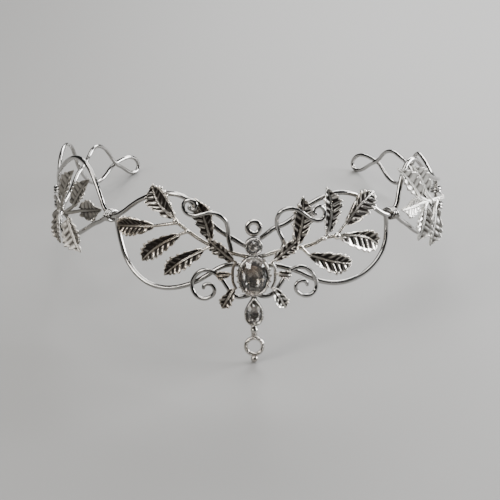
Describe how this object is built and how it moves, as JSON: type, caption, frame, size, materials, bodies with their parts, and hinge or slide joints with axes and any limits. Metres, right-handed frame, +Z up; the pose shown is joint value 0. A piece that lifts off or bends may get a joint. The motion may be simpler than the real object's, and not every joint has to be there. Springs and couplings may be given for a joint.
{
  "type": "tiara",
  "caption": "Open-backed silver wire tiara with veined leaf sprigs in oval frames, spiral scrolls and a stone-set centre drop.",
  "frame": {"origin": "on the table under the middle of the box round the tiara, as it stands on its centre drop and its two end loops", "axes": "+X to the right seen from the front, +Y from the brow towards the open back, +Z up from the table"},
  "size_m": [0.1578, 0.1664, 0.0585],
  "materials": {
    "silver_wire": "polished silver round wire with faint tarnish in the crossings",
    "cast_leaf": "cast silver, dark brown-black patina in the recesses, bright raised veins and edges",
    "setting": "antiqued silver, darkened behind the beads and in the corners",
    "clear_stone": "clear faceted stone with faint brown reflections"
  },
  "bodies": {
    "root": {"front_frame_left": "silver_wire", "front_frame_right": "silver_wire", "side_frame_left": "silver_wire", "side_frame_right": "silver_wire", "back_arm_left": "silver_wire", "back_arm_right": "silver_wire", "upper_scroll_left": "silver_wire", "upper_scroll_right": "silver_wire", "lower_scroll_left": "silver_wire", "lower_scroll_right": "silver_wire", "temple_wrap_left": "silver_wire", "temple_wrap_right": "silver_wire", "rear_wrap_upper_left": "silver_wire", "rear_wrap_upper_right": "silver_wire", "rear_wrap_lower_left": "silver_wire", "rear_wrap_lower_right": "silver_wire", "front_sprig_left": "cast_leaf", "front_sprig_right": "cast_leaf", "side_sprig_left": "cast_leaf", "side_sprig_right": "cast_leaf", "centre_leaf_left": "cast_leaf", "centre_leaf_right": "cast_leaf", "centre_setting": "setting", "eye_ring": "setting", "round_stone": "clear_stone", "oval_stone": "clear_stone", "pear_stone": "clear_stone"}
  },
  "joints": []
}
